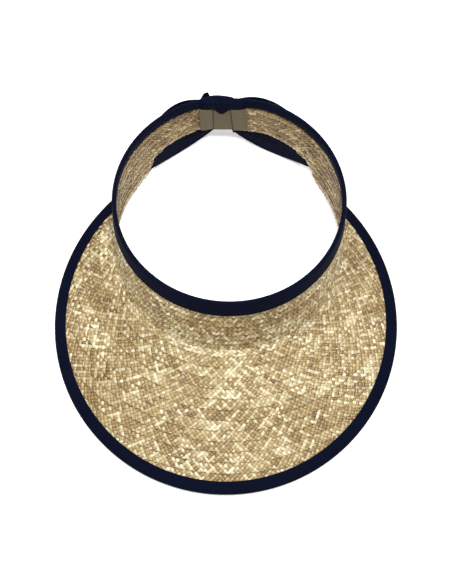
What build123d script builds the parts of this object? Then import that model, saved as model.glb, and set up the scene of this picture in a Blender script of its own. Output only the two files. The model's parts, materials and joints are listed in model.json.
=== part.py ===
"""Straw sun visor: sewn braid crown and brim, ribbon edges, elastic rear closure and a ribbon bow.

The work frame is the crown's top ring: ring centre at the origin, front towards -Y, ring axis +Z.
Below the ring the crown leans forward. At the end everything is tipped so that the front of the
brim and the bow rest on z = 0. Lengths are millimetres.
"""
import os
from math import cos, radians, sin, sqrt, tan

from build123d import *

# ---- crown -------------------------------------------------------------------------------------
RING_R = 88.0          # outer radius of the straw at the top ring, a 56 cm head
STRAW = 1.8            # thickness of the plaited straw
CROWN_DROP = 53.0      # ring plane down to the joint with the brim
CROWN_TOP = -1.0       # the straw stops this far below the folded ribbon
CROWN_ROWS = 10
LEAN = radians(15.0)   # the crown's middle line leans forward going down
FLARE = radians(1.5)   # the crown widens going down
STEP = 0.25            # each sewn row's lower edge stands proud of the next row by twice this
# ---- brim --------------------------------------------------------------------------------------
BRIM_SLOPE = radians(20.0)
BRIM_ROWS = 14
OUTLINE_R = 135.0      # the brim's edge is a circle seen along the ring axis
OUTLINE_Y = -72.0
EDGE_IN = 0.9          # the straw stops inside the ribbon's fold
# ---- ribbon edges ------------------------------------------------------------------------------
RIBBON = 0.75
FOLD_GAP = 0.1
TOP_RIBBON_OUT = 13.4
TOP_RIBBON_IN = 7.0
BRIM_RIBBON = 9.2
# ---- rear band ---------------------------------------------------------------------------------
SPLIT_Y = 48.0         # behind this plane the band bends away from the front
SPLIT_GAP = 0.2
BAND_END_X = 10.0
# The band's lower edge climbs steeply behind the brim's end, then gently to the closure. Each
# stretch starts at a (y, z) and climbs by an angle in degrees.
BAND_CUTS = (((47.0, -52.5), 57.0), ((57.0, -37.0), 17.5))
# ---- closure, in the frame of the leaning rear panel --------------------------------------------
CLOSURE_TURN = 5.3     # degrees round the ring: the closure and bow sit left of the middle line
PANEL_Y = RING_R - STRAW
PANEL_LEAN = 13.5
ELASTIC_X = 14.5
ELASTIC_T = 1.4
ELASTIC_Y = -3.1
ELASTIC_TOP = -4.0
ELASTIC_MID_X = 9.2
CLOSURE_FOOT = -31.0
TAB_IN_X = 6.0
TAB_OUT_X = 18.5
TAB_T = 1.2
TAB_TOP = -8.3
CAP_X = 18.5
CAP_TOP = 1.9
# ---- bow ---------------------------------------------------------------------------------------
BOW_R = 91.4           # inner layer of the loops follows the band at this radius
BOW_BULGE = 9.0
BOW_TIP_X = {-1: 67.0, 1: 74.0}  # the left and the right loop's reach
KNOT_X = 7.0
KNOT_TOP = -12.5
KNOT_FOOT = -31.5
TAIL_R = 90.3
# ---- resting position --------------------------------------------------------------------------
REST_TILT = 7.55

BIG = 400.0


def shell_radius(z):
    """Outer radius of the straw crown at height z."""
    return RING_R - z * tan(FLARE)


def leaning_cone(z_top, z_low, grow_top, grow_low):
    """Solid of the crown's shape between two heights, grown outwards at each."""
    rings = []
    for z, grow in ((z_top, grow_top), (z_low, grow_low)):
        plane = Plane(origin=(0, z * tan(LEAN), z), x_dir=(1, 0, 0), z_dir=(0, 0, 1))
        rings.append(plane * Circle(shell_radius(z) + grow))
    return loft(rings, ruled=True)


def crown_row(index):
    """One full turn of sewn braid, its lower edge proud."""
    pitch = (CROWN_DROP + CROWN_TOP) / CROWN_ROWS
    top = CROWN_TOP - index * pitch
    low = top - pitch
    outer = leaning_cone(top, low, -STEP, STEP)
    inner = leaning_cone(top, low, -STEP - STRAW, STEP - STRAW)
    return outer - inner


def block(x0, x1, y0, y1, z0, z1):
    """Box between two corners."""
    return Pos((x0 + x1) / 2, (y0 + y1) / 2, (z0 + z1) / 2) * Box(x1 - x0, y1 - y0, z1 - z0)


def round_ring(shape):
    """Turn a shape from the middle line to where the closure is."""
    return Rot(0, 0, CLOSURE_TURN) * shape


def front_space():
    return block(-BIG, BIG, -BIG, SPLIT_Y - SPLIT_GAP / 2, -BIG, BIG)


def wing_space(side):
    """Everything behind the split on one side, up to the band's end."""
    x = sorted((side * BAND_END_X, side * BIG))
    beside = round_ring(block(x[0], x[1], 0, BIG, -BIG, BIG))
    return beside & block(-BIG, BIG, SPLIT_Y + SPLIT_GAP / 2, BIG, -BIG, BIG)


def above_band_edge():
    """Space above the rear band's climbing lower edge."""
    half = Pos(0, 0, BIG / 2) * Box(2 * BIG, 2 * BIG, BIG)
    steep, gentle = (Pos(0, y, z) * Rot(angle, 0, 0) * half for (y, z), angle in BAND_CUTS)
    return steep + gentle


def wing_rows(side, pair):
    """Two neighbouring rows of the rear band on one side."""
    rows = crown_row(2 * pair) + crown_row(2 * pair + 1)
    return rows & wing_space(side) & above_band_edge()


def brim_centre_y():
    return -CROWN_DROP * tan(LEAN)


def brim_inner_radius():
    return shell_radius(-CROWN_DROP) - STRAW


def brim_slant():
    reach = OUTLINE_R - OUTLINE_Y + brim_centre_y() - brim_inner_radius()
    return reach / cos(BRIM_SLOPE)


def brim_point(along, up):
    """Point of the brim's section: along the slope from the crown, up square to it."""
    radius = brim_inner_radius() + along * cos(BRIM_SLOPE) + up * sin(BRIM_SLOPE)
    height = -CROWN_DROP - along * sin(BRIM_SLOPE) + up * cos(BRIM_SLOPE)
    return radius, height


def brim_turn(points):
    """Full turn of a section about the crown's axis at the brim."""
    section = Plane.XZ * Polyline(*points, close=True)
    turned = revolve(make_face(section), axis=Axis.Z)
    return Pos(0, brim_centre_y(), 0) * turned


def outline(inset):
    """Upright cylinder with the brim's outline, moved inwards."""
    return Pos(0, OUTLINE_Y, -CROWN_DROP) * Cylinder(OUTLINE_R - inset, 2 * CROWN_DROP * 2)


def brim_row(index):
    """One sewn row of the brim, cut off where the outline crosses it."""
    pitch = brim_slant() / BRIM_ROWS
    near = index * pitch
    far = near + pitch
    foot = -STRAW
    ring = brim_turn(
        [
            brim_point(near, -2 * STEP),
            brim_point(far, 0),
            brim_point(far, foot),
            brim_point(near, foot - 2 * STEP),
        ]
    )
    return ring & outline(EDGE_IN)


def brim_ribbon():
    """Ribbon folded over the brim's edge, from one crown side round the front to the other."""
    low = -STRAW - 2 * STEP - FOLD_GAP - RIBBON
    high = FOLD_GAP + RIBBON
    near = 2.0
    far = brim_slant() + 6
    outer = brim_turn(
        [brim_point(near, low), brim_point(far, low), brim_point(far, high), brim_point(near, high)]
    )
    low += RIBBON
    high -= RIBBON
    core = brim_turn(
        [brim_point(0, low), brim_point(far, low), brim_point(far, high), brim_point(0, high)]
    )
    band = (outer & outline(0)) - outline(BRIM_RIBBON)
    band = band - (core & outline(RIBBON))
    clear = leaning_cone(10, -CROWN_DROP - 30, 1.2, 1.2)
    return band - clear


def crown_ribbon():
    """Ribbon folded over the crown's top edge, a full turn."""
    skin = STEP + FOLD_GAP
    outer = leaning_cone(0, -TOP_RIBBON_OUT, skin + RIBBON, skin + RIBBON)
    outer = outer - leaning_cone(1, -TOP_RIBBON_OUT - 1, -STRAW / 2, -STRAW / 2)
    inner = leaning_cone(0, -TOP_RIBBON_IN, -STRAW / 2, -STRAW / 2)
    hole = leaning_cone(1, -TOP_RIBBON_OUT - 1, -STRAW - skin - RIBBON, -STRAW - skin - RIBBON)
    core = leaning_cone(CROWN_TOP + 0.15, -TOP_RIBBON_OUT - 1, skin, skin)
    core = core - leaning_cone(2, -TOP_RIBBON_OUT - 2, -STRAW - skin, -STRAW - skin)
    return (outer + inner) - hole - core


def on_panel(shape):
    """Place a shape built upright at the origin onto the leaning rear panel."""
    return round_ring(Pos(0, PANEL_Y, 0) * Rot(-PANEL_LEAN, 0, 0) * shape)


def elastic_strip():
    y0, y1 = ELASTIC_Y, ELASTIC_Y + ELASTIC_T
    strip = block(-ELASTIC_X, ELASTIC_X, y0, y1, CLOSURE_FOOT, TAB_TOP)
    strip = fillet(strip.edges().filter_by(Axis.X).group_by(Axis.Z)[0], 0.5)
    return on_panel(strip + block(-ELASTIC_MID_X, ELASTIC_MID_X, y0, y1, -16, ELASTIC_TOP))


def tab(side):
    """Tape end: a plate over the elastic and a foot sewn to the band's inner face."""
    face = ELASTIC_Y - 0.3
    x = sorted((side * TAB_IN_X, side * TAB_OUT_X))
    plate = block(x[0], x[1], face - TAB_T, face, CLOSURE_FOOT - 0.6, TAB_TOP)
    plate = fillet(plate.edges().filter_by(Axis.Y), 0.8)
    x = sorted((side * (ELASTIC_X + 0.6), side * TAB_OUT_X))
    foot = block(x[0], x[1], face - 0.1, face + 3, CLOSURE_FOOT - 0.6, TAB_TOP)
    tape = on_panel(plate + foot)
    skin = STEP + STRAW + 0.02
    return tape & leaning_cone(5, -CROWN_DROP - 10, -skin, -skin)


def gathered_cap():
    """Gathered ribbon that bridges the two ends of the crown's ribbon over the elastic."""
    def arch(y0, y1, top, foot_in, foot_out, half):
        body = block(-half, half, y0, y1, foot_out, top)
        body = fillet(body.edges().filter_by(Axis.X).group_by(Axis.Z)[-1], 2.2)
        return body - block(-half - 1, half + 1, y0 - 1, (y0 + y1) / 2, foot_out - 1, foot_in)

    outer = arch(-4.6, 5.2, CAP_TOP, -7.1, -12.0, CAP_X)
    hollow = block(-CAP_X - 1, CAP_X + 1, -3.8, 4.4, -20, CAP_TOP - 0.8)
    hollow = fillet(hollow.edges().filter_by(Axis.X).group_by(Axis.Z)[-1], 1.4)
    dip = block(-5.4, 4.4, -4.6, -3.8, -12.6, -5)
    dip = fillet(dip.edges().filter_by(Axis.Y).group_by(Axis.Z)[0], 4.2)
    return on_panel((outer - hollow) + dip)


def knot():
    body = block(-KNOT_X, KNOT_X, ELASTIC_Y + ELASTIC_T + 0.05, 15.0, KNOT_FOOT, KNOT_TOP)
    body = fillet(body.edges().filter_by(Axis.X), 3.0)
    return on_panel(body)


def lean_column(sketch, z_top, z_low):
    """Extrude a plan shape down the leaning direction of the crown."""
    plan = Pos(0, z_top * tan(LEAN), z_top) * sketch
    return extrude(plan, amount=(z_top - z_low) / cos(LEAN), dir=(0, -sin(LEAN), -cos(LEAN)))


def loop_plan(side, inset):
    """Plan of one bow loop: a crescent between the band and a bulging arc."""
    start_x = KNOT_X + 0.2 + inset
    tip_x = BOW_TIP_X[side] - 1.6 * inset
    near = BOW_R + inset
    start = (side * start_x, sqrt(near**2 - start_x**2))
    tip = (side * tip_x, sqrt(near**2 - tip_x**2))
    middle_x = 0.55 * (start_x + tip_x)
    middle = (side * middle_x, sqrt(near**2 - middle_x**2))
    far = BOW_R + BOW_BULGE - inset
    bulge = (side * middle_x, sqrt(far**2 - middle_x**2))
    back = (side * start_x, start[1] + 7.0 - 2.2 * inset)
    curve = ThreePointArc(start, middle, tip) + Line(start, back) + Spline(back, bulge, tip)
    return make_face(curve)


def bow_face(side):
    """Rear view of one loop: narrow at the knot, wide near its rounded end."""
    base = -24.0
    tip_x = BOW_TIP_X[side] + 1
    line = (
        Line((side * KNOT_X, base - 14.0), (side * KNOT_X, base + 8.0))
        + Spline(
            (side * KNOT_X, base + 8.0),
            (side * 26, base + 13.0),
            (side * 52, base + 9.0),
            (side * tip_x, base - 12.0),
            tangents=[(side * 3, 1), (0, -1)],
        )
        + Spline(
            (side * KNOT_X, base - 14.0),
            (side * 26, base - 28.0),
            (side * 52, base - 31.0),
            (side * tip_x, base - 12.0),
            tangents=[(side * 1, -1), (0, 1)],
        )
    )
    return extrude(Plane.XZ * make_face(line), amount=-BIG)


def bow_loop(side):
    ring = loop_plan(side, 0) - loop_plan(side, 0.8)
    return round_ring(lean_column(ring, 5, -75) & bow_face(side))


def short_tail():
    """Ribbon end that stands up from the knot behind the cap."""
    strip = Box(9.0, 0.8, 23.0)
    strip = chamfer(strip.edges().filter_by(Axis.Y).group_by(Axis.Z)[-1].sort_by(Axis.X)[0], 4.0)
    strip = Pos(-11.5, 6.2, -6.3) * Rot(0, -38, 0) * strip
    return on_panel(strip - block(-40, 40, 0, 12, -40, KNOT_TOP + 0.05))


def long_tail():
    """Ribbon end that lies between the band and the right loop."""
    ring = Circle(TAIL_R + 0.35) - Circle(TAIL_R - 0.35)
    strip = Pos(45.5, 70, -37.0) * Rot(0, 3, 0) * Box(76.0, 100, 14.0)
    return round_ring(lean_column(ring, 5, -75) & strip)


def build():
    """Every piece by name, in the ring frame."""
    pieces = {}
    for index in range(CROWN_ROWS):
        pieces[f"crown_braid_{index + 1:02d}"] = crown_row(index) & front_space()
    for side, name in ((-1, "left"), (1, "right")):
        for pair in range(CROWN_ROWS // 2):
            pieces[f"{name}_band_braid_{pair + 1}"] = wing_rows(side, pair)
    for index in range(BRIM_ROWS):
        pieces[f"brim_braid_{index + 1:02d}"] = brim_row(index)
    ribbon = crown_ribbon()
    pieces["crown_ribbon_front"] = ribbon & front_space()
    pieces["crown_ribbon_left"] = ribbon & wing_space(-1)
    pieces["crown_ribbon_right"] = ribbon & wing_space(1)
    pieces["brim_ribbon"] = brim_ribbon()
    pieces["elastic"] = elastic_strip()
    pieces["left_tab"] = tab(-1)
    pieces["right_tab"] = tab(1)
    pieces["gathered_cap"] = gathered_cap()
    pieces["bow_knot"] = knot()
    pieces["bow_loop_left"] = bow_loop(-1)
    pieces["bow_loop_right"] = bow_loop(1)
    pieces["bow_tail_short"] = short_tail()
    pieces["bow_tail_long"] = long_tail()
    return pieces


def main():
    os.makedirs("parts", exist_ok=True)
    tipped = {name: Rot(-REST_TILT, 0, 0) * shape for name, shape in build().items()}
    boxes = [shape.bounding_box() for shape in tipped.values()]
    middle_y = (min(box.min.Y for box in boxes) + max(box.max.Y for box in boxes)) / 2
    rest = Pos(0, -middle_y, -min(box.min.Z for box in boxes))
    for name, shape in tipped.items():
        export_step(rest * shape, f"parts/{name}.step")


if __name__ == "__main__":
    main()
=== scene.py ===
"""Straw sun visor: plaited rows, grosgrain ribbon edges, an elastic closure and a ribbon bow.

Shapes are worked out in millimetres about the crown's top ring, which the record holds as the
head_opening mount: ring centre at the origin, front towards -Y, ring axis +Z. row_frame() turns
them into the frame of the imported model, in metres.
"""

from math import asin, ceil, cos, pi, radians, sin, sqrt, tan
import json

import bpy
import numpy as np
from mathutils import Matrix, Vector


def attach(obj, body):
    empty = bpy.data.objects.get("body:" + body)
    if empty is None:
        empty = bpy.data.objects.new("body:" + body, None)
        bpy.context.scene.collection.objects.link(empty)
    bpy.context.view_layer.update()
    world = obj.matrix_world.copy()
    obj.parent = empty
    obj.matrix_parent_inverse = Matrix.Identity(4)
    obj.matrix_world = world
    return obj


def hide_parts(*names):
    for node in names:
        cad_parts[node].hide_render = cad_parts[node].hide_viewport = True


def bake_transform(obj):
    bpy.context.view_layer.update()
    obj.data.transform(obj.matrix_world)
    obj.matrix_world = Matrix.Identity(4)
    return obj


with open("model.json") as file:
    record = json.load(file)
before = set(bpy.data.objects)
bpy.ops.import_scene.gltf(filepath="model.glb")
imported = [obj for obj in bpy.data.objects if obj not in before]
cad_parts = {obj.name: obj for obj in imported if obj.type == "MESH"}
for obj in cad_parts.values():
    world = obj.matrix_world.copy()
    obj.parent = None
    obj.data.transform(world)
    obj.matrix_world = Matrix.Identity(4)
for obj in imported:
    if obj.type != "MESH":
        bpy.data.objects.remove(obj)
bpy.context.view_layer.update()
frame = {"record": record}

MM = 0.001

# ---- crown, in millimetres about the ring --------------------------------------------------------
RING_R = 88.0          # outer face of the straw at the top ring
CROWN_DROP = 53.0
CROWN_TOP = 1.0        # the straw starts this far below the folded ribbon
CROWN_ROWS = 10
LEAN = radians(15.0)
FLARE = radians(1.5)
CROWN_PITCH = (CROWN_DROP - CROWN_TOP) / CROWN_ROWS
# ---- brim ----------------------------------------------------------------------------------------
BRIM_SLOPE = radians(20.0)
BRIM_ROWS = 14
BRIM_INNER = RING_R + CROWN_DROP * tan(FLARE) - 1.8
BRIM_Y = -CROWN_DROP * tan(LEAN)
OUTLINE_R = 135.0
OUTLINE_Y = -72.0
BRIM_PITCH = (OUTLINE_R - OUTLINE_Y + BRIM_Y - BRIM_INNER) / cos(BRIM_SLOPE) / BRIM_ROWS
STRAW_INSET = 1.8      # the straw stops this far inside the brim's outline, in the ribbon's fold
BRIM_END_Y = 38.0      # the rows stop here, before the outline has closed in on the crown
BRIM_START = 1.4       # the first row starts this far out, under the crown's lowest row
# ---- rear band -----------------------------------------------------------------------------------
SPLIT_Y = 48.0
BEND = 10.0            # the band bends within this distance of the split
BAND_END_X = 10.0
# The band's lower edge climbs steeply behind the brim's end, then gently: (y, z, rise per mm).
STEEP_CUT = {-1: (43.5, -52.5, tan(radians(57.0))), 1: (42.5, -52.5, tan(radians(52.0)))}
GENTLE_CUT = {-1: (57.0, -37.0, tan(radians(17.5))), 1: (57.0, -37.5, tan(radians(13.0)))}
# ---- closure and bow -----------------------------------------------------------------------------
CLOSURE_TURN = radians(5.3)
PANEL_Y = 86.2
PANEL_LEAN = radians(13.5)
PULL = 1.8             # how far the elastic draws the band in, at most
PULL_X = 16.0
PULL_WIDTH = 13.0


# ---- frames --------------------------------------------------------------------------------------
def ring_axes():
    """Origin and axes of the ring frame, in the row frame."""
    mount = next(m for m in frame["record"]["mounts"] if m["name"] == "head_opening")
    up = np.array(mount["axis"], float)
    up /= np.linalg.norm(up)
    side = np.array([1.0, 0.0, 0.0])
    return np.array(mount["pos_m"], float), np.stack([side, np.cross(up, side), up])


ORIGIN, AXES = ring_axes()


def row_frame(points):
    """Ring frame in millimetres to row frame in metres."""
    return ORIGIN + MM * (np.asarray(points, float) @ AXES)


def stack(x, y, z):
    return np.stack(np.broadcast_arrays(x, y, z), axis=-1)


def pulled_in(x):
    """How far the elastic draws the band in at a distance x along the closure, to the right of it."""
    return PULL * np.exp(-(((x - PULL_X) / PULL_WIDTH) ** 2))


def crown_point(azimuth, drop, out):
    """Leaning crown: azimuth from the front, drop below the ring, out from the straw's outer face."""
    from_closure = np.where(azimuth > 0, pi + CLOSURE_TURN - azimuth, CLOSURE_TURN - pi - azimuth)
    radius = RING_R + drop * tan(FLARE) + out - pulled_in(RING_R * from_closure)
    return stack(radius * np.sin(azimuth), -radius * np.cos(azimuth) - drop * tan(LEAN), -drop)


def brim_point(azimuth, along, up):
    """Sloping brim: azimuth from the front, along the slope from the crown, up square to it."""
    radius = BRIM_INNER + along * cos(BRIM_SLOPE) + up * sin(BRIM_SLOPE)
    height = -CROWN_DROP - along * sin(BRIM_SLOPE) + up * cos(BRIM_SLOPE)
    return stack(radius * np.sin(azimuth), BRIM_Y - radius * np.cos(azimuth), height)


def edge_point(turn, inset, up):
    """Brim near its outline: turn round the outline, inset from it, up square to the slope."""
    x = (OUTLINE_R - inset) * np.sin(turn)
    y = OUTLINE_Y - (OUTLINE_R - inset) * np.cos(turn)
    radius = np.hypot(x, y - BRIM_Y)
    along = (radius - BRIM_INNER - up * sin(BRIM_SLOPE)) / cos(BRIM_SLOPE)
    height = -CROWN_DROP - along * sin(BRIM_SLOPE) + up * cos(BRIM_SLOPE)
    return stack(x, y, height)


def round_ring(points):
    """Turn points from the middle line to where the closure is."""
    c, s = cos(CLOSURE_TURN), sin(CLOSURE_TURN)
    x, y, z = np.moveaxis(np.asarray(points, float), -1, 0)
    return stack(c * x - s * y, s * x + c * y, z)


def panel_point(x, y, z):
    """Leaning rear panel: x along it, y out of it, z up it."""
    y = y - pulled_in(x)
    back = PANEL_Y + y * cos(PANEL_LEAN) + z * sin(PANEL_LEAN)
    return round_ring(stack(x, back, z * cos(PANEL_LEAN) - y * sin(PANEL_LEAN)))


def rear_point(x, radius, z):
    """Point behind the band at a distance x along the closure and a radius about the crown's axis."""
    return round_ring(stack(x, np.sqrt(radius**2 - x**2) + z * tan(LEAN), z))


# ---- meshes --------------------------------------------------------------------------------------
def outward(points, quads):
    """Quads turned so that the closed mesh's faces look outwards."""
    a, b, c, d = (points[quads[:, i]] for i in range(4))
    volume = np.einsum("ij,ij->i", a, np.cross(b, c)) + np.einsum("ij,ij->i", a, np.cross(c, d))
    return quads[:, ::-1] if volume.sum() < 0 else quads


def new_piece(name, points, quads, material, uv=None, values=None):
    """Mesh object from points in the ring frame; UVs are in millimetres, values go by vertex."""
    mesh = bpy.data.meshes.new(name)
    mesh.vertices.add(len(points))
    mesh.vertices.foreach_set("co", row_frame(points).astype(np.float32).ravel())
    mesh.loops.add(quads.size)
    mesh.loops.foreach_set("vertex_index", quads.astype(np.int32).ravel())
    mesh.polygons.add(len(quads))
    mesh.polygons.foreach_set("loop_start", np.arange(0, quads.size, 4, dtype=np.int32))
    mesh.polygons.foreach_set("use_smooth", np.full(len(quads), True))
    mesh.update(calc_edges=True)
    if uv is not None:
        layer = mesh.uv_layers.new(name="weave")
        layer.data.foreach_set("uv", uv[quads.ravel()].astype(np.float32).ravel())
    for key, value in (values or {}).items():
        attribute = mesh.attributes.new(key, "FLOAT", "POINT")
        attribute.data.foreach_set("value", value.astype(np.float32))
    mesh.validate()
    mesh.materials.append(material)
    piece = bpy.data.objects.new(name, mesh)
    bpy.context.scene.collection.objects.link(piece)
    return piece


def grid_quads(rows, columns):
    """Quads between neighbouring points of a grid numbered row by row."""
    first = np.arange((rows - 1) * columns).reshape(rows - 1, columns)[:, :-1].ravel()
    return np.stack([first, first + 1, first + columns + 1, first + columns], axis=1)


def rim(rows, columns):
    """Numbers of a grid's border points, all the way round."""
    grid = np.arange(rows * columns).reshape(rows, columns)
    return np.concatenate([grid[0, :-1], grid[:-1, -1], grid[-1, :0:-1], grid[:0:-1, 0]])


def cloth(middle, thickness, relief=0.0):
    """Closed sheet about a grid of middle points; relief is extra height on both faces."""
    rows, columns = middle.shape[:2]
    normal = np.cross(np.gradient(middle, axis=0), np.gradient(middle, axis=1))
    normal /= np.maximum(np.linalg.norm(normal, axis=-1, keepdims=True), 1e-9)
    half = (thickness / 2 + np.broadcast_to(relief, (rows, columns)))[..., None]
    faces = (middle + normal * half, middle - normal * half)
    points = np.concatenate([side.reshape(-1, 3) for side in faces])
    count = rows * columns
    face = grid_quads(rows, columns)
    edge = rim(rows, columns)
    following = np.roll(edge, -1)
    border = np.stack([edge, edge + count, following + count, following], axis=1)
    quads = np.concatenate([face, face[:, ::-1] + count, border])
    return points, outward(points, quads)


def arc_lengths(points, axis):
    """Distance along one axis of a grid, as the mean over the other axis."""
    steps = np.linalg.norm(np.diff(points, axis=axis), axis=-1)
    steps = steps.mean(axis=1 - axis)
    return np.concatenate([[0.0], np.cumsum(steps)])


def cloth_piece(name, middle, thickness, material, relief=0.0):
    """Closed sheet about a grid of middle points. Returns it with its flat width and length."""
    points, quads = cloth(middle, thickness, relief)
    length, width = arc_lengths(middle, 0), arc_lengths(middle, 1)
    uv = np.stack([c.ravel() for c in np.meshgrid(length, width, indexing="ij")], axis=1)
    piece = new_piece(name, points, quads, material, uv=np.concatenate([uv, uv]))
    return piece, (width[-1] * MM, length[-1] * MM)


def grosgrain(name, middle, material, thickness=0.45, relief=0.05):
    """Ribbed ribbon about a grid of points that runs along it; the ribs run across it, 1 mm apart."""
    ribs = relief * np.cos(2 * pi * arc_lengths(middle, 0))
    return cloth_piece(name, middle, thickness, material, ribs[:, None])


# ---- materials -----------------------------------------------------------------------------------
class Nodes:
    """Short calls for building one material's node tree."""

    def __init__(self, name):
        self.material = bpy.data.materials.new(name)
        self.material.use_nodes = True
        self.tree = self.material.node_tree
        self.tree.nodes.clear()
        self.shader = self.tree.nodes.new("ShaderNodeBsdfPrincipled")
        output = self.tree.nodes.new("ShaderNodeOutputMaterial")
        self.link(self.shader.outputs["BSDF"], output.inputs["Surface"])

    def link(self, source, target):
        self.tree.links.new(source, target)

    def node(self, kind, inputs=None, **settings):
        made = self.tree.nodes.new(kind)
        for key, value in settings.items():
            setattr(made, key, value)
        for key, value in (inputs or {}).items():
            if isinstance(value, bpy.types.NodeSocket):
                self.link(value, made.inputs[key])
            else:
                made.inputs[key].default_value = value
        return made

    def math(self, operation, a, b=0.0):
        return self.node("ShaderNodeMath", {0: a, 1: b}, operation=operation).outputs[0]

    def ramp(self, factor, stops):
        """Colour ramp from (position, linear colour) stops."""
        made = self.node("ShaderNodeValToRGB", {"Fac": factor})
        elements = made.color_ramp.elements
        while len(elements) < len(stops):
            elements.new(0.5)
        for element, (position, colour) in zip(elements, stops):
            element.position = position
            element.color = (*colour, 1.0)
        return made.outputs["Color"]

    def span(self, value, low, high):
        """Map 0..1 to low..high."""
        inputs = {"Value": value, "To Min": low, "To Max": high}
        return self.node("ShaderNodeMapRange", inputs).outputs["Result"]

    def noise(self, vector, scale, detail=2.0, roughness=0.5):
        inputs = {"Vector": vector, "Scale": scale, "Detail": detail, "Roughness": roughness}
        return self.node("ShaderNodeTexNoise", inputs).outputs["Fac"]

    def uv(self):
        return self.node("ShaderNodeUVMap", uv_map="weave").outputs["UV"]

    def attribute(self, name):
        return self.node("ShaderNodeAttribute", attribute_name=name).outputs["Fac"]

    def position(self):
        return self.node("ShaderNodeTexCoord").outputs["Object"]

    def threads(self, vector, direction, inputs):
        """Waves across one direction of a weave."""
        inputs = {"Vector": vector, **inputs}
        return self.node("ShaderNodeTexWave", inputs, bands_direction=direction).outputs["Fac"]

    def stretched(self, vector, scale):
        return self.node("ShaderNodeMapping", {"Vector": vector, "Scale": scale}).outputs["Vector"]

    def bump(self, height, strength, distance):
        inputs = {"Height": height, "Strength": strength, "Distance": distance}
        self.link(self.node("ShaderNodeBump", inputs).outputs["Normal"], self.shader.inputs["Normal"])


def straw_material(name, stops, rough, coat):
    """Glossy split straw: each splint has its own tone and fibres; painted shade darkens a row where
    it lies tucked under the row before.
    """
    n = Nodes(name)
    tone = n.attribute("tone")
    fibre = n.noise(n.stretched(n.uv(), (0.35, 7.0, 1.0)), 1.0, 3.0, 0.6)
    patch = n.noise(n.position(), 45.0, 2.0, 0.5)
    mixed = n.math("ADD", n.math("MULTIPLY", tone, 0.60), n.math("MULTIPLY", fibre, 0.24))
    mixed = n.math("ADD", mixed, n.math("MULTIPLY", patch, 0.36))
    # painted shade: a row is darker where it lies tucked under the row before
    mixed = n.math("SUBTRACT", mixed, n.math("MULTIPLY", n.attribute("tuck_shade"), 0.20))
    n.link(n.ramp(mixed, stops), n.shader.inputs["Base Color"])
    gloss = n.math("FRACT", n.math("MULTIPLY", tone, 7.3))
    n.link(n.span(gloss, rough[0], rough[1]), n.shader.inputs["Roughness"])
    n.shader.inputs["IOR"].default_value = 1.55
    n.shader.inputs["Coat Weight"].default_value = coat
    n.shader.inputs["Coat Roughness"].default_value = 0.20
    n.bump(fibre, 0.25, 0.00012)
    return n.material


def ribbon_material(name, dark, light):
    """Navy grosgrain: fine warp threads between the ribs and a little lint, nearly matt."""
    n = Nodes(name)
    warp = n.threads(n.uv(), "Y", {"Scale": 0.55, "Distortion": 0.6, "Detail": 1.0})
    lint = n.noise(n.position(), 900.0, 3.0, 0.6)
    wear = n.noise(n.position(), 35.0, 2.0, 0.5)
    shade = n.math("ADD", n.math("MULTIPLY", lint, 0.5), n.math("MULTIPLY", wear, 0.5))
    n.link(n.ramp(shade, [(0.3, dark), (0.7, light)]), n.shader.inputs["Base Color"])
    n.link(n.span(lint, 0.62, 0.85), n.shader.inputs["Roughness"])
    n.shader.inputs["Specular IOR Level"].default_value = 0.05
    n.bump(warp, 0.4, 0.0001)
    return n.material


def tape_material(name, dark, light, ribs):
    """Matt woven tape: crossing threads, the ribs wider on the elastic."""
    n = Nodes(name)
    uv = n.uv()
    weft = n.threads(uv, "X", {"Scale": 0.32, "Distortion": 0.4})
    warp = n.threads(uv, "Y", {"Scale": ribs, "Distortion": 0.4})
    weave = n.math("ADD", n.math("MULTIPLY", weft, 0.5), n.math("MULTIPLY", warp, 0.5))
    fuzz = n.noise(n.position(), 1200.0, 3.0, 0.6)
    shade = n.math("ADD", n.math("MULTIPLY", weave, 0.4), n.math("MULTIPLY", fuzz, 0.6))
    n.link(n.ramp(shade, [(0.25, dark), (0.75, light)]), n.shader.inputs["Base Color"])
    n.link(n.span(fuzz, 0.75, 0.95), n.shader.inputs["Roughness"])
    n.shader.inputs["Sheen Weight"].default_value = 0.15
    n.bump(weave, 0.35, 0.00015)
    return n.material


def floor_material():
    n = Nodes("studio_floor")
    grain = n.noise(n.position(), 6.0, 2.0, 0.5)
    stops = [(0.2, (0.90, 0.90, 0.90)), (0.8, (0.93, 0.93, 0.93))]
    n.link(n.ramp(grain, stops), n.shader.inputs["Base Color"])
    n.shader.inputs["Roughness"].default_value = 0.9
    n.shader.inputs["Specular IOR Level"].default_value = 0.1
    n.shader.inputs["Emission Color"].default_value = (1.0, 1.0, 1.0, 1.0)
    n.shader.inputs["Emission Strength"].default_value = 0.4
    return n.material


STRAW_TONES = [
    (0.30, (0.140, 0.074, 0.020)),
    (0.48, (0.290, 0.188, 0.066)),
    (0.64, (0.435, 0.322, 0.140)),
    (0.84, (0.76, 0.69, 0.46)),
]
STRAW = straw_material("straw", STRAW_TONES, (0.20, 0.50), 0.35)
NAVY = ((0.0012, 0.0022, 0.0100), (0.0022, 0.0040, 0.0165))
RIBBON = ribbon_material("edge_ribbon", *NAVY)
BOW = ribbon_material("bow_ribbon", *NAVY)
TAPE = tape_material("tape", (0.080, 0.060, 0.028), (0.142, 0.110, 0.058), 0.32)
ELASTIC = tape_material("elastic", (0.075, 0.056, 0.026), (0.135, 0.105, 0.055), 0.22)


# ---- plaited straw -------------------------------------------------------------------------------
# A splint's section: six points given as shares of its half width and half thickness.
SECTION = np.array([(-1.0, 0.3), (0.0, 1.0), (1.0, 0.3), (1.0, -0.3), (0.0, -1.0), (-1.0, -0.3)])
FOLD = 0.3             # share of a crossing that a splint takes to fold over at the plait's edge
FLAT = 0.9             # how flat a splint lies where it floats over another
COVER = 0.95           # a splint's width as a share of the distance between splints
THICK = 0.115          # half its thickness, as the same share
SPLINTS_ALIKE = 40     # splints of one stretch of row that share some of their tone


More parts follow.
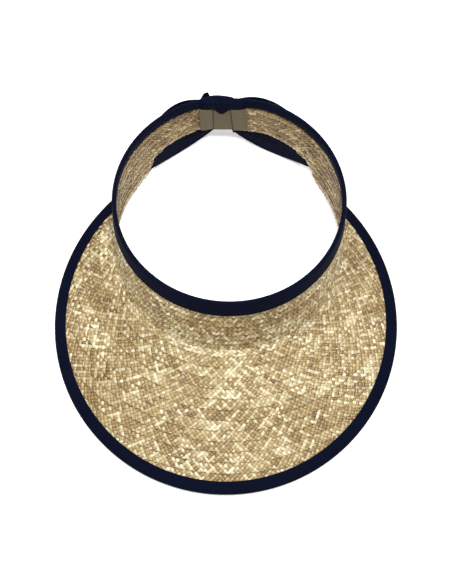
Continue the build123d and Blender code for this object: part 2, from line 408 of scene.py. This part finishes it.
def float_shape(phase):
    """Height of a splint along its crossings: over at even phases, under at odd, with flat floats."""
    return np.tanh(FLAT * np.cos(pi * phase)) / np.tanh(FLAT)


def stations(ends):
    """Where a leg of a splint gets its sections, counted in crossings from edge to edge."""
    inner = np.linspace(FOLD, ends - FOLD, int(round((ends - 2 * FOLD) * 3)) + 1)
    return np.concatenate([[0.0, FOLD / 2], inner, [ends - FOLD / 2, ends]])


def kept_spans(leg, family, ends, pitch, surface, keep):
    """First and last crossing of each leg that lie on the braid that is left after cutting."""
    fine = np.linspace(0.0, ends, 12 * ends + 1)
    across = fine * pitch / 2
    along = leg[:, None] * pitch + family * across
    inside = keep(surface(along, np.broadcast_to(across, along.shape), np.zeros_like(along)))
    first = fine[np.argmax(inside, axis=1)]
    last = fine[len(fine) - 1 - np.argmax(inside[:, ::-1], axis=1)]
    return inside.any(axis=1) & (last - first > 0.4), first, last


def tube_quads(amount, steps):
    """Faces of a number of six-sided tubes with closed ends, each with so many sections."""
    ring = np.arange(6)
    start = np.arange(amount * steps).reshape(amount, steps)[:, :-1] * 6
    a = start[..., None] + ring
    b = start[..., None] + np.roll(ring, -1)
    tube = np.stack([a, b, b + 6, a + 6], axis=-1).reshape(-1, 4)
    head = np.arange(amount)[:, None] * steps * 6
    tail = head + (steps - 1) * 6
    caps = [head + np.array([5, 4, 1, 0]), head + np.array([4, 3, 2, 1])]
    caps += [tail + np.array([0, 1, 4, 5]), tail + np.array([1, 2, 3, 4])]
    return np.concatenate([tube] + caps)


def plait(name, surface, keep, legs, pitch, ends, amplitude, tucked, rng):
    """Flat braid along a surface(s, t, n): s along it, t across it from the tucked edge, n out.

    Splints cross at 45 degrees and fold over at both edges. tucked is the share of the width, from
    the tucked edge, that is painted darker as shade under the row before.
    """
    width = ends * pitch / 2
    every = stations(ends)
    splint_tone = rng.uniform(0.0, 1.0, (ends, len(legs) // SPLINTS_ALIKE + 2))
    points, quads, uvs, tones, tuck_shades = [], [], [], [], []
    count = 0
    for family in (1, -1):
        keeping, first, last = kept_spans(legs, family, ends, pitch, surface, keep)
        draws = rng.normal(size=(len(legs), 5))
        leg, low, high, draw = legs[keeping], first[keeping], last[keeping], draws[keeping]
        # e counts crossings from edge to edge; far and near turn a splint round either edge.
        e = low[:, None] + (every / ends)[None, :] * (high - low)[:, None]
        far = np.clip((e - ends + FOLD) / FOLD, 0, 1) * pi / 2
        near = np.clip((FOLD - e) / FOLD, 0, 1) * pi / 2
        inner = (np.clip(e, FOLD, ends - FOLD) - FOLD) / (ends - 2 * FOLD)
        t = amplitude + inner * (width - 2 * amplitude) + amplitude * (np.sin(far) - np.sin(near))
        side = family * (np.sin(far) * cos(pi * ends) - np.sin(near))
        half_width = pitch / 2 * (COVER + 0.04 * draw[:, 0])
        thick = THICK * pitch * (1 + 0.15 * draw[:, 1])
        across = SECTION[:, 0] * half_width[:, None, None]
        rise = SECTION[:, 1] * thick[:, None, None]
        start = (leg + 0.02 * draw[:, 2])[:, None, None] * pitch
        s = start + family * (e * pitch / 2)[..., None] + across
        phase = e[..., None] + family * across / pitch
        size = (amplitude * (1 + 0.12 * draw[:, 3]))[:, None, None]
        lean = 0.11 * draw[:, 4][:, None, None] * across
        fold = np.cos(far + near)[..., None]
        n = (family * size * float_shape(phase) + lean) * fold + rise * fold
        t = t[..., None] + rise * side[..., None]
        made = surface(s, t, n)
        amount, steps = e.shape
        points.append(made.reshape(-1, 3))
        quads.append(outward(points[-1], tube_quads(amount, steps)) + count)
        count += amount * steps * 6
        splint = (leg % ends).astype(int)
        stretch = np.clip((leg - legs[0]) // SPLINTS_ALIKE, 0, splint_tone.shape[1] - 1).astype(int)
        tone = 0.35 * splint_tone[splint, stretch] + 0.65 * rng.uniform(0, 1, len(leg))
        tones.append(np.repeat(tone, steps * 6))
        # painted shade under the row before, strongest at the tucked edge
        tuck_shades.append(np.clip((tucked - t / width) / 0.35, 0, 1).ravel())
        along = np.broadcast_to((e * pitch / 2 * sqrt(2) + 37.0 * tone[:, None])[..., None], s.shape)
        uvs.append(np.stack([along.ravel(), np.broadcast_to(across, s.shape).ravel()], axis=1))
    return new_piece(name, np.concatenate(points), np.concatenate(quads), STRAW,
                     uv=np.concatenate(uvs),
                     values={"tone": np.concatenate(tones), "tuck_shade": np.concatenate(tuck_shades)})


def wobble(rng, size):
    """Slow unevenness of a sewn row, as a function of azimuth."""
    phases = rng.uniform(0, 2 * pi, 4)
    turns = np.array([3.0, 7.0, 13.0, 29.0])

    def value(azimuth):
        waves = np.sin(azimuth[..., None] * turns + phases) / np.sqrt(turns)
        return size * waves.sum(axis=-1)

    return value


BRIM_STRAND = 3.7      # distance between splints along a brim row
BRIM_ENDS = 5
BRIM_WAVE = 0.34       # how far a splint rises and falls in crossing the others
# share of a brim row's width painted darker as shade under the row before
BRIM_SHADED_SHARE = 0.28
CROWN_STRAND = 3.3
CROWN_ENDS = 4
CROWN_WAVE = 0.22
# share of a crown row's width painted darker as shade under the row before
CROWN_SHADED_SHARE = 0.62
HEM = 0.9              # the crown's lowest row reaches this much lower, on to the brim
CROWN_SEAT = -1.5      # how far out a crown row's tucked edge lies
CROWN_STEP = 1.25      # how much further out its lower edge lies


def brim_row(index):
    """One sewn row of the brim; its near edge is tucked under the row before it."""
    rng = np.random.default_rng(100 + index)
    width = BRIM_ENDS * BRIM_STRAND / 2
    far = (index + 1) * BRIM_PITCH
    near = max(BRIM_START, far - width)
    # Height of the tucked edge, and how much higher the far edge lies; the first row lies flat.
    low, rise = (-0.6, 0.05) if index == 0 else (-1.6, 1.05)
    radius = BRIM_INNER + far * cos(BRIM_SLOPE) - BRIM_PITCH / 2
    uneven = wobble(rng, 0.16)

    def surface(s, t, n):
        azimuth = s / radius + 0.0 * t
        share = t / width
        along = near + share * (far - near) + uneven(azimuth)
        return brim_point(azimuth, along, n + low + rise * share)

    def keep(points):
        inside = np.hypot(points[..., 0], points[..., 1] - OUTLINE_Y) < OUTLINE_R - STRAW_INSET
        return inside & (points[..., 1] < BRIM_END_Y)

    name = f"brim_braid_{index + 1:02d}"
    count = ceil(pi * radius / BRIM_STRAND)
    legs = np.arange(-count, count)
    piece = plait(f"straw_{name}", surface, keep, legs, BRIM_STRAND, BRIM_ENDS, BRIM_WAVE,
                  BRIM_SHADED_SHARE, rng)
    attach(piece, "visor_front")
    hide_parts(name)
    return piece


def bend_with_band(piece, side):
    """Bakes the piece's transform into its mesh; the band's bend points either side of the split are
    worked out but not used.
    """
    x, z = side * 75.0, -25.0
    start, end = row_frame([(x, SPLIT_Y - BEND, z), (x, SPLIT_Y + BEND, z)])
    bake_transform(piece)
    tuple(start)
    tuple(end)


def beside_closure(points, side):
    """How far points lie beyond the band's end on one side."""
    x = cos(CLOSURE_TURN) * points[..., 0] + sin(CLOSURE_TURN) * points[..., 1]
    return np.where(points[..., 1] < 0, 1.0, side * x - BAND_END_X)


def above_band_edge(y, z, side):
    """Points above the rear band's lower edge: above either of its two slopes."""
    cuts = (STEEP_CUT[side], GENTLE_CUT[side])
    steep, gentle = ((z - cut_z) - (y - cut_y) * rise for cut_y, cut_z, rise in cuts)
    return np.maximum(steep, gentle) > 0


def crown_row(index, side):
    """One side's half of a sewn crown row, from the front to the closure."""
    rng = np.random.default_rng(200 + index)
    width = CROWN_ENDS * CROWN_STRAND / 2
    far = CROWN_TOP + (index + 1) * CROWN_PITCH
    near = max(CROWN_TOP, far - width)
    radius = RING_R + far * tan(FLARE)
    uneven = wobble(rng, 0.10)
    hem = HEM if index == CROWN_ROWS - 1 else 0.0
    rng = np.random.default_rng(300 + 2 * index + (side > 0))

    def surface(s, t, n):
        azimuth = s / radius + 0.0 * t
        share = t / width
        drop = near + share * (far - near + hem) + uneven(azimuth)
        return crown_point(azimuth, drop, n + CROWN_SEAT + CROWN_STEP * share)

    def keep(points):
        x, y, z = np.moveaxis(points, -1, 0)
        own_side = (side * x > 0) | (y < 0)
        return above_band_edge(y, z, side) & (beside_closure(points, side) > 0.4) & own_side

    count = ceil(pi * radius / CROWN_STRAND)
    legs = np.arange(0, count) if side > 0 else np.arange(-count, 0)
    name = "right" if side > 0 else "left"
    piece = plait(f"straw_crown_{index + 1:02d}_{name}", surface, keep, legs, CROWN_STRAND,
                  CROWN_ENDS, CROWN_WAVE, CROWN_SHADED_SHARE, rng)
    bend_with_band(piece, side)
    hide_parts(f"crown_braid_{index + 1:02d}", f"{name}_band_braid_{index // 2 + 1}")
    return piece


# ---- ribbon edges --------------------------------------------------------------------------------
def fold_path(count, foot_out, foot_in, out, inn, top, height):
    """Section of a ribbon folded over an edge: (out, drop) points, evenly spaced."""
    middle, half = (out + inn) / 2, (out - inn) / 2
    angles = np.linspace(0, pi, 41)
    arc = np.stack([middle + half * np.cos(angles), top + height - height * np.sin(angles)], axis=1)
    path = np.concatenate([[(out, foot_out)], arc, [(inn, foot_in)]])
    steps = np.concatenate([[0.0], np.cumsum(np.linalg.norm(np.diff(path, axis=0), axis=1))])
    even = np.linspace(0, steps[-1], count)
    return np.stack([np.interp(even, steps, path[:, 0]), np.interp(even, steps, path[:, 1])], axis=1)


RIB_STEPS = 3          # sections of a ribbon for each millimetre of its length
CROWN_FOLD = 30        # points across a folded ribbon
BRIM_FOLD = 22


def crown_ribbon(side):
    """Half of the ribbon folded over the crown's top edge, from the front to the closure."""
    rng = np.random.default_rng(40 + side)
    path = fold_path(CROWN_FOLD, 13.4, 7.0, 0.62, -2.3, 0.35, 1.5)
    end = side * (pi - asin(BAND_END_X / RING_R)) + CLOSURE_TURN
    count = int(abs(end) * RING_R * RIB_STEPS) + 1
    azimuth = np.linspace(0.0, end, count)[:, None]
    pucker = wobble(rng, 0.10)(azimuth * 2.3)
    edge = np.linspace(-1, 1, CROWN_FOLD)[None, :] ** 2
    middle = crown_point(azimuth, path[None, :, 1], path[None, :, 0] + pucker * edge)
    name = "right" if side > 0 else "left"
    piece, flat = grosgrain(f"ribbon_crown_{name}", middle, RIBBON)
    bend_with_band(piece, side)
    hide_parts("crown_ribbon_front", f"crown_ribbon_{name}")
    return piece


def brim_ribbon():
    """Ribbon folded over the brim's edge, from one side of the crown round the front to the other."""
    rng = np.random.default_rng(50)
    path = fold_path(BRIM_FOLD, 9.2, 8.7, 0.42, -2.35, 0.3, 1.4)
    inset = path[:, 1]
    radius = OUTLINE_R - inset
    clear = RING_R + CROWN_DROP * tan(FLARE) + 1.0
    gap = OUTLINE_Y - BRIM_Y
    end = np.arccos(np.clip((radius**2 + gap**2 - clear**2) / (2 * radius * gap), -1, 1))
    count = int(2 * end.max() * OUTLINE_R * RIB_STEPS)
    share = np.linspace(-1.0, 1.0, count)[:, None]
    shortened = np.sign(share) * np.clip((np.abs(share) - 0.9) / 0.1, 0, 1) ** 2
    turn = share * end.max() + shortened * (end[None, :] - end.max())
    pucker = wobble(rng, 0.08)(share * 3.0)
    edge = np.linspace(-1, 1, BRIM_FOLD)[None, :] ** 2
    middle = edge_point(turn, inset[None, :], path[None, :, 0] + pucker * edge)
    piece, flat = grosgrain("ribbon_brim", middle, RIBBON)
    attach(piece, "visor_front")
    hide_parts("brim_ribbon")
    return piece


# ---- closure -------------------------------------------------------------------------------------
TAB_TOP = -8.3
FOOT = -31.0
MIDDLE_Z = (TAB_TOP + FOOT) / 2
# The middle of the elastic lies between these two edges; the right one slants.
MIDDLE_LEFT = -7.6
MIDDLE_RIGHT = 5.9
SLANT = 2.0
GAP = 1.0
ELASTIC_X = 16.6       # half its length, so that its ends stay under the tape when the band opens


def grid(count_u, count_v):
    return np.meshgrid(np.linspace(0, 1, count_u), np.linspace(0, 1, count_v), indexing="ij")


def tab(side):
    """Tape end: from the band's inner face over the elastic's end, its outer edge pressed down."""
    u, v = grid(48, 64)
    inner = MIDDLE_RIGHT + GAP + SLANT * (0.5 - v) if side > 0 else -MIDDLE_LEFT + GAP + 0.0 * v
    outer = 18.7 + 2.0 * (0.5 - v) * (side > 0)
    x = inner + (outer - inner) * u
    foot = FOOT + 0.15 * np.sin(0.7 * x) + 1.4 * (1 - u) * (side < 0)
    z = foot + (TAB_TOP - foot) * v
    pressed = np.clip((u - 0.72) / 0.28, 0, 1) ** 2
    y = -4.0 + 1.15 * pressed - 0.22 * np.sin(pi * u) * np.sin(pi * v)
    hem = np.minimum(np.minimum(u * 11, (1 - u) * 11), np.minimum(v * 26, (1 - v) * 26))
    relief = 0.10 * np.exp(-((hem - 0.55) / 0.4) ** 2) - 0.25 * np.exp(-hem / 0.25)
    name = "right" if side > 0 else "left"
    piece, flat = cloth_piece(f"tape_end_{name}", panel_point(side * x, y, z), 0.85, TAPE, relief)
    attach(piece, f"{name}_band")
    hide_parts(f"{name}_tab")


def elastic():
    """Ribbed elastic: its middle stands forward between the tape ends, its ends run under them."""
    u, v = grid(150, 120)
    x = ELASTIC_X * (2 * u - 1)
    z = FOOT + 0.5 + (TAB_TOP + 4.0 - FOOT - 0.5) * v
    x = x * np.where(z > TAB_TOP - 0.4, 0.54, 1.0)
    right = MIDDLE_RIGHT - SLANT * (z - MIDDLE_Z) / (TAB_TOP - FOOT)
    beside = np.minimum(x - MIDDLE_LEFT, right - x)
    forward = 1 / (1 + np.exp(-np.clip(beside * 9, -30, 30)))
    groove = 1.5 * np.exp(-(((beside + 0.55) / 0.42) ** 2))
    crumple = 0.18 * np.sin(1.9 * x - 1.1 * z) * np.exp(-((z - TAB_TOP + 5.5) / 3.5) ** 2)
    ends_in = np.clip(x**2 - 200.0, 0, 100) / (2 * RING_R)
    swell = crumple - 0.25 * np.cos(x / 4.4)
    y = -2.2 - ends_in - 1.35 * forward + swell * forward + groove
    relief = 0.045 * np.cos(2 * pi * v * 26) - 0.1 * np.exp(-np.minimum(v, 1 - v) * 90)
    piece, flat = cloth_piece("elastic_strip", panel_point(x, y, z), 0.8, ELASTIC, relief)
    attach(piece, "closure")
    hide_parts("elastic")


CAP_X = 18.4
NOTCH_X = 10.3         # the left lobe of the gathered ribbon ends here
DIP_X = -1.2           # it hangs down over the elastic here


def gathered_cap():
    """Ribbon gathered over the closure: two lobes, a notch between them and a rounded dip inside."""
    x = np.linspace(-CAP_X, CAP_X, int(2 * CAP_X * RIB_STEPS * 1.5))[:, None]
    q = np.linspace(0, 1, 70)[None, :]
    bulk = 1 - np.abs(x / CAP_X) ** 3
    wall = -(x**2) / (2 * RING_R)
    lobe = 1 / (1 + np.exp((x - NOTCH_X) * 1.8))
    notch = np.exp(-np.abs(x - NOTCH_X) / 1.7)
    outer = 2.8 + wall + (0.1 + 2.1 * lobe * (0.75 - 0.035 * x)) * bulk - 1.3 * notch
    inner = -0.95 + wall - 3.3 * bulk
    top = 0.7 * np.exp(-(((x + 6.0) / 8.0) ** 2)) - 1.0 * notch
    foot = -7.3 - 4.9 * np.exp(-np.abs((x - DIP_X) / 4.4) ** 2.6)
    turn = np.clip((q - 0.4) / 0.2, 0, 1) * pi
    height = 2.6
    y = (outer + inner) / 2 + (outer - inner) / 2 * np.cos(turn)
    z = top - height + height * np.sin(turn)
    z = z - np.clip(1 - q / 0.4, 0, 1) * (top - height + 11.8)
    z = z + np.clip((q - 0.6) / 0.4, 0, 1) * (foot - top + height)
    reach = np.hypot(x - DIP_X, z + 5.5)
    spread = np.arctan2(z + 5.5, x - DIP_X)
    folds = np.sin(7 * spread + 0.5) * np.exp(-reach / 9.0) * np.clip(reach / 3.5, 0, 1)
    y = y - 0.32 * (1 + folds) * np.clip((q - 0.5) * 8, 0, 1) * bulk
    ribs = 0.05 * np.cos(2 * pi * x)
    ends = 0.16 * np.clip((np.abs(x) - CAP_X + 1.2) / 1.0, 0, 1)
    middle = panel_point(x + 0.0 * q, y, z)
    piece, flat = cloth_piece("ribbon_gathered_cap", middle, 0.4, RIBBON, ribs - ends)
    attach(piece, "closure")
    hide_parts("gathered_cap")


# ---- bow -----------------------------------------------------------------------------------------
BOW_R = 91.9
KNOT_X = 7.0
BOW_TIP_X = {-1: 67.0, 1: 74.0}
# Heights that shape each loop's edges, from the knot to the tip.
LOOP_LOW = {-1: [-38.0, -50.0, -58.0, -57.0, -50.0], 1: [-40.0, -57.0, -62.0, -57.0, -47.0]}
LOOP_HIGH = [-18.0, -12.0, -9.5, -14.0, -27.0]


def bezier(controls, at):
    """Height of a Bezier curve whose control points are evenly spaced from 0 to 1."""
    levels = [np.full_like(at, c) for c in controls]
    while len(levels) > 1:
        levels = [a + (b - a) * at for a, b in zip(levels, levels[1:])]
    return levels[0]


def bow_loop(side):
    """Ribbon loop: one layer along the band, folded round at the tip and back in a bulge."""
    rng = np.random.default_rng(60 + side)
    length = BOW_TIP_X[side] - KNOT_X
    out = np.sin(np.linspace(0, pi / 2, 200))
    reach = np.concatenate([out, out[-2::-1]])
    layer = np.concatenate([np.zeros(200), np.ones(199)])
    bulge = layer * (6.4 + 2.2 * np.sin(pi * reach)) * np.sqrt(np.clip(1 - reach**6, 0, 1))
    steps = np.hypot(np.diff(reach) * length, np.diff(bulge))
    path = np.concatenate([[0.0], np.cumsum(steps)])
    even = np.linspace(0, path[-1], int(path[-1] * RIB_STEPS))
    share = np.interp(even, path, reach)[:, None]
    layer = np.interp(even, path, layer)[:, None]
    bulge = np.interp(even, path, bulge)[:, None]
    v = np.linspace(0, 1, 52)[None, :]
    low = bezier(LOOP_LOW[side], share)
    high = bezier(LOOP_HIGH, share)
    z = low + (high - low) * v
    fan = np.exp(-share / 0.24) * np.sin(2 * pi * 3.0 * v + 1.2 * layer + rng.uniform(0, 1))
    swell = 0.6 * np.sin(pi * v * 2 + 5.0 * share + side) * np.sin(pi * np.clip(share, 0, 1))
    radius = BOW_R + bulge + (0.75 + 0.6 * layer) * fan + (0.35 + 0.9 * layer) * swell
    x = KNOT_X - 0.6 + (length + 0.4) * share + 0.0 * v
    name = "right" if side > 0 else "left"
    middle = rear_point(side * x, radius, z)
    piece, flat = grosgrain(f"ribbon_bow_loop_{name}", middle, BOW, thickness=0.4)
    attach(piece, "closure")
    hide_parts(f"bow_loop_{name}")


def bow_knot():
    """Ribbon wrapped round the middle of the bow, creased along its length."""
    around = np.linspace(0, 2 * pi, 170)[:, None]
    across = np.linspace(-1, 1, 44)[None, :]
    c, s = np.cos(around), np.sin(around)
    crease = 0.38 * np.sin(2.6 * pi * across + 0.8 * s) + 0.2 * np.sin(5.1 * across + 2 * c)
    waist = 1 - 0.06 * np.cos(2 * around)
    depth = 7.0 + crease - 0.9 * across**2
    tall = 8.7 + crease - 0.8 * across**2
    y = 7.2 + depth * np.sign(c) * np.abs(c) ** 0.75
    z = -22.2 + tall * np.sign(s) * np.abs(s) ** 0.75
    x = 6.5 * across * waist + 0.35 * np.sin(around)
    piece, flat = grosgrain("ribbon_bow_knot", panel_point(x, y, z), BOW, thickness=0.4)
    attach(piece, "closure")
    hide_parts("bow_knot")


def short_tail():
    """Ribbon end that stands up behind the gathered ribbon, its left corner cut off."""
    u = np.linspace(0, 1, 90)[:, None]
    v = np.linspace(-1, 1, 40)[None, :]
    width = 5.3 * (1 - 0.10 * np.clip((u - 0.85) / 0.15, 0, 1) ** 2)
    lift = radians(14.0)
    tip = 15.4 - 6.0 * np.clip(0.35 - v, 0, 2) ** 1.1 - 1.6 * np.clip(v - 0.5, 0, 1) ** 2
    along = -9.0 + tip * u
    x = -14.8 - along * sin(lift) + v * width * cos(lift)
    z = -6.6 + along * cos(lift) + v * width * sin(lift)
    y = 6.3 + 0.9 * v**2 * (0.4 + u) - 0.6 * np.clip(u - 0.7, 0, 1) * 3
    piece, flat = grosgrain("ribbon_bow_tail_short", panel_point(x, y, z), BOW, thickness=0.4)
    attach(piece, "closure")
    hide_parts("bow_tail_short")


def long_tail():
    """Ribbon end between the band and the right loop, cut with a notch."""
    u = np.linspace(0, 1, 240)[:, None]
    v = np.linspace(-1, 1, 34)[None, :]
    x = 7.6 + (76.0 + 4.0 * (np.abs(v) - 1)) * u
    z = -34.6 - 4.4 * u + 6.7 * v + 0.6 * np.sin(5.5 * u)
    radius = 90.75 + 0.14 * np.sin(9 * u + 2 * v)
    middle = rear_point(x, radius, z)
    piece, flat = grosgrain("ribbon_bow_tail_long", middle, BOW, thickness=0.35, relief=0.03)
    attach(piece, "closure")
    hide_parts("bow_tail_long")


# ---- scene ---------------------------------------------------------------------------------------
def camera():
    """Camera in front of the visor and high above it, a little to the right."""
    elevation, azimuth, roll = radians(66.78), radians(1.68), radians(0.31)
    distance = 900.0
    target = np.array([0.2, -79.2, 0.0])
    back = np.array([sin(azimuth) * cos(elevation), -cos(azimuth) * cos(elevation), sin(elevation)])
    level = np.array([cos(azimuth), sin(azimuth), 0.0])
    upright = np.cross(back, level)
    right = cos(roll) * level + sin(roll) * upright
    data = bpy.data.cameras.new("camera")
    data.sensor_fit = "HORIZONTAL"
    data.sensor_width = 36.0
    data.lens = 98.2
    data.clip_end = 20.0
    made = bpy.data.objects.new("camera", data)
    made.location = Vector(row_frame(target + distance * back))
    axes = np.stack([right, np.cross(back, right), back]) @ AXES
    made.rotation_euler = Matrix(axes.T.tolist()).to_euler()
    bpy.context.scene.collection.objects.link(made)
    bpy.context.scene.camera = made


def area_light(name, location, size, power):
    data = bpy.data.lights.new(name, "AREA")
    data.shape = "DISK"
    data.size = size
    data.energy = power
    light = bpy.data.objects.new(name, data)
    light.location = location
    aim = Vector((0, 0, 0.04)) - Vector(location)
    light.rotation_euler = aim.to_track_quat("-Z", "Y").to_euler()
    bpy.context.scene.collection.objects.link(light)


def studio():
    """Pale floor, pale world and soft lights."""
    world = bpy.data.worlds.new("studio")
    world.use_nodes = True
    background = world.node_tree.nodes["Background"]
    background.inputs["Color"].default_value = (1.0, 1.0, 1.0, 1.0)
    background.inputs["Strength"].default_value = 0.34
    bpy.context.scene.world = world
    bpy.context.scene.view_settings.view_transform = "Standard"
    side = 3.0
    corners = np.array([(-side, -side), (side, -side), (side, side), (-side, side)])
    mesh = bpy.data.meshes.new("studio_floor")
    mesh.from_pydata([(x, y, -0.0008) for x, y in corners], [], [(0, 1, 2, 3)])
    mesh.materials.append(floor_material())
    floor = bpy.data.objects.new("studio_floor", mesh)
    bpy.context.scene.collection.objects.link(floor)
    area_light("key", (0.10, -0.12, 1.30), 0.20, 12.0)
    area_light("left", (-0.50, 0.25, 1.20), 0.20, 6.0)
    area_light("right", (0.55, 0.45, 1.20), 0.20, 4.0)


camera()
studio()
for row in range(BRIM_ROWS):
    brim_row(row)
for row in range(CROWN_ROWS):
    for side in (-1, 1):
        crown_row(row, side)
for side in (-1, 1):
    crown_ribbon(side)
brim_ribbon()
elastic()
gathered_cap()
bow_knot()
for side in (-1, 1):
    tab(side)
    bow_loop(side)
short_tail()
long_tail()
